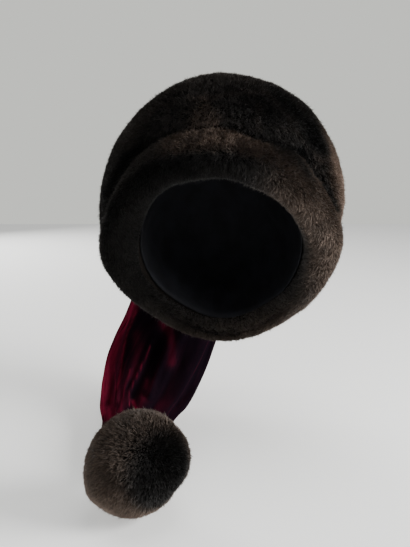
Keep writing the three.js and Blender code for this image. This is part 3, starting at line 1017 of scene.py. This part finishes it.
# its tone, and by what shares the painted light, the painted bounce light below, the rows and
# the painted shadow change it
POM_TONE, LIT_GAIN, BOUNCE_GAIN, ROWS_GAIN, SHADOW_LOSS = 0.85, 0.4, 0.9, 0.22, 0.85
rng = np.random.default_rng(200)
core_faces = np.array([p.vertices[:] for p in core.data.polygons])
corners, weights = scatter(core_points, core_faces, POM_HAIRS, rng)
roots = weighted(core_points, corners, weights)
normals = unit(roots)
from_axis = np.linalg.norm(normals - np.outer(normals @ sewn, sewn), axis=1) * POM_RADIUS
keep = (normals @ sewn < 0) | (from_axis > SEWN_RADIUS)
roots, normals = roots[keep], normals[keep]
brush = unit(np.array(POM_BRUSH))
nap = unit(brush - normals * (normals @ brush)[:, None])
# painted shadow on one side and painted light on the other
painted_shadow = np.clip((normals @ unit(np.array(SHADOWED_SIDE)) - 0.55) / 0.35, 0, 1)
lit_share = np.clip(normals @ unit(np.array(LIT_SIDE)), 0, 1)
# the underside gets painted bounce light, as from a pale floor
below = np.clip(-normals[:, 2] * 1.5, 0, 1)
tufted = np.clip(normals @ unit(np.array(ROWS_SIDE)) * 2 - 1, 0, 1)
tufted *= np.sin(normals @ unit(np.array(ACROSS_ROWS)) * POM_RADIUS / ROW_APART * 2 * np.pi)
gain = POM_TONE * (1 + ROWS_GAIN * tufted) * (1 + LIT_GAIN * lit_share + BOUNCE_GAIN * below)
gain *= 1 - SHADOW_LOSS * eased(painted_shadow)
pile = np.full(len(roots), POM_PILE)
habit = {"lean": 0.40, "width": 0.60, "swirl": 0.18, "ragged": 0.08}
pom_hair = hairs("pompom_pile", roots + POM, normals, nap, pile, gain, rng, **habit)
print("Pompom hairs:", len(roots))

# %% [markdown]
# ## Floor and light
# A plain pale floor stands before a plain pale backdrop. One large soft light comes from the
# right and a little above, with weak ones from the left, from above and from behind, so that
# every side can be seen.

# %% Floor
FLOOR, PALE = -0.2990, (0.82, 0.82, 0.80, 1)
bpy.ops.object.select_all(action="DESELECT")
bpy.ops.mesh.primitive_plane_add(size=1, location=(0, 0, 0))
floor = bpy.context.object
floor.name = floor.data.name = "studio_floor"
edit()
bpy.ops.transform.resize(value=(6, 5, 1))
bpy.ops.transform.translate(value=(0, -0.6, FLOOR))
bpy.ops.object.mode_set(mode="OBJECT")
floor_finish, shader, nodes, links = new_material("studio_pale", 0.9)
settle(shader, {"Base Color": PALE, "Emission Color": PALE, "Emission Strength": 0.45})
floor.data.materials.append(floor_finish)
print("Floor at", FLOOR)


# %% Lights and world
def soft_light(name, place, aim, size, power):
    """A square area light, in metres and watts, that looks at a point."""
    bpy.ops.object.light_add(type="AREA", location=place)
    light = bpy.context.object
    light.name = name
    light.data.size = size
    light.data.energy = power
    towards = np.array(aim) - np.array(place)
    yaw = math.atan2(towards[1], towards[0]) - math.pi / 2
    pitch = math.atan2(np.hypot(towards[0], towards[1]), -towards[2])
    light.rotation_euler = (pitch, 0, yaw)
    return light


lights = [
    soft_light("key_light", (1.2, -0.45, 0.30), (0, 0, -0.1), 0.7, 44),
    soft_light("fill_light", (-0.9, -1.0, -0.1), (-0.05, -0.1, -0.2), 0.8, 4),
    soft_light("top_light", (0.3, 0.1, 1.6), (0, 0, 0), 1.2, 14),
    soft_light("back_light", (-0.9, 1.3, 0.35), (0, 0, -0.1), 0.9, 22),
]
world = bpy.data.worlds.new("studio_world")
world.use_nodes = True
nodes, links = world.node_tree.nodes, world.node_tree.links
ambient = nodes["Background"]
settle(ambient, {"Color": (0.80, 0.82, 0.82, 1), "Strength": 0.24})
backdrop = nodes.new("ShaderNodeBackground")
settle(backdrop, {"Color": (0.80, 0.81, 0.76, 1), "Strength": 0.98})
ray = nodes.new("ShaderNodeLightPath")
either = nodes.new("ShaderNodeMixShader")
links.new(ray.outputs["Is Camera Ray"], either.inputs[0])
links.new(ambient.outputs["Background"], either.inputs[1])
links.new(backdrop.outputs["Background"], either.inputs[2])
links.new(either.outputs["Shader"], nodes["World Output"].inputs["Surface"])
bpy.context.scene.world = world
print("Lights:", [light.name for light in lights])

# %% [markdown]
# ## Tying the pieces to the frame
# The hat moves as one body, and each visible piece rides on it. The CAD nodes that the pieces
# stand for are hidden. The band and the ball are stuffed, and the bag and the lining are single
# cloths.

# %% Ride and replace
finishes = [(pelt, "fur"), (lining, "lining"), (bag, "velvet"), (core, "fur"), (pom_hair, "fur")]
for piece, slot in finishes + [(quarter, "fur") for quarter in band_hair]:
    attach(piece, "root")
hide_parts("fur_band")
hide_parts("lining")
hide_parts("velvet_bag")
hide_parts("pompom")
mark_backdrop(floor, *lights)
bpy.context.view_layer.update()
total = sum(triangles(o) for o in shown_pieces())
print("Triangles in all:", total)
